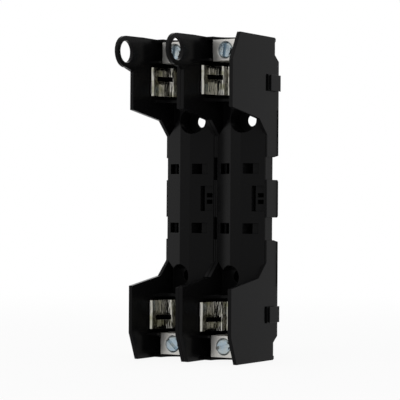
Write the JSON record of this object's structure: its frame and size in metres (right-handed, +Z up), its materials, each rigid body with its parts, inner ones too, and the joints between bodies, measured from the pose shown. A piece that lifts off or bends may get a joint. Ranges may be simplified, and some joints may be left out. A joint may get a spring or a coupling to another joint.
{
  "type": "fuse block",
  "caption": "Modular fuse block with open moulded bases, spring clips for cartridge fuses, box lugs and padlock rings, for a panel or a rail.",
  "frame": {"origin": "middle of the mounting plane, between the two poles, at mid-height", "axes": "+X across the poles to the block's right, +Y from the front to the panel, +Z up along the fuses"},
  "size_m": [0.0576, 0.0557, 0.1524],
  "materials": {
    "black_plastic": "moulded black thermoplastic, semi-gloss",
    "tinned_clip": "tin-plated copper alloy strip",
    "spring_steel": "blank spring steel",
    "aluminium_lug": "tin-plated aluminium, satin",
    "zinc_screw": "steel with blue zinc plating"
  },
  "bodies": {
    "block": {"left_base": "black_plastic", "left_upper_clip": "tinned_clip", "left_upper_spring": "spring_steel", "left_upper_clip_screw": "zinc_screw", "left_upper_lug": "aluminium_lug", "left_lower_clip": "tinned_clip", "left_lower_spring": "spring_steel", "left_lower_clip_screw": "zinc_screw", "left_lower_lug": "aluminium_lug", "right_base": "black_plastic", "right_upper_clip": "tinned_clip", "right_upper_spring": "spring_steel", "right_upper_clip_screw": "zinc_screw", "right_upper_lug": "aluminium_lug", "right_lower_clip": "tinned_clip", "right_lower_spring": "spring_steel", "right_lower_clip_screw": "zinc_screw", "right_lower_lug": "aluminium_lug"},
    "left_upper_lug_screw": {"left_upper_lug_screw": "zinc_screw"},
    "left_lower_lug_screw": {"left_lower_lug_screw": "zinc_screw"},
    "right_upper_lug_screw": {"right_upper_lug_screw": "zinc_screw"},
    "right_lower_lug_screw": {"right_lower_lug_screw": "zinc_screw"}
  },
  "joints": [
    {"name": "left_upper_screw_in", "type": "slide", "parent": "block", "child": "left_upper_lug_screw", "axis": [0, 1, 0], "range_m": [0, 0.0042]},
    {"name": "left_lower_screw_in", "type": "slide", "parent": "block", "child": "left_lower_lug_screw", "axis": [0, 1, 0], "range_m": [0, 0.0042]},
    {"name": "right_upper_screw_in", "type": "slide", "parent": "block", "child": "right_upper_lug_screw", "axis": [0, 1, 0], "range_m": [0, 0.0042]},
    {"name": "right_lower_screw_in", "type": "slide", "parent": "block", "child": "right_lower_lug_screw", "axis": [0, 1, 0], "range_m": [0, 0.0042]}
  ]
}
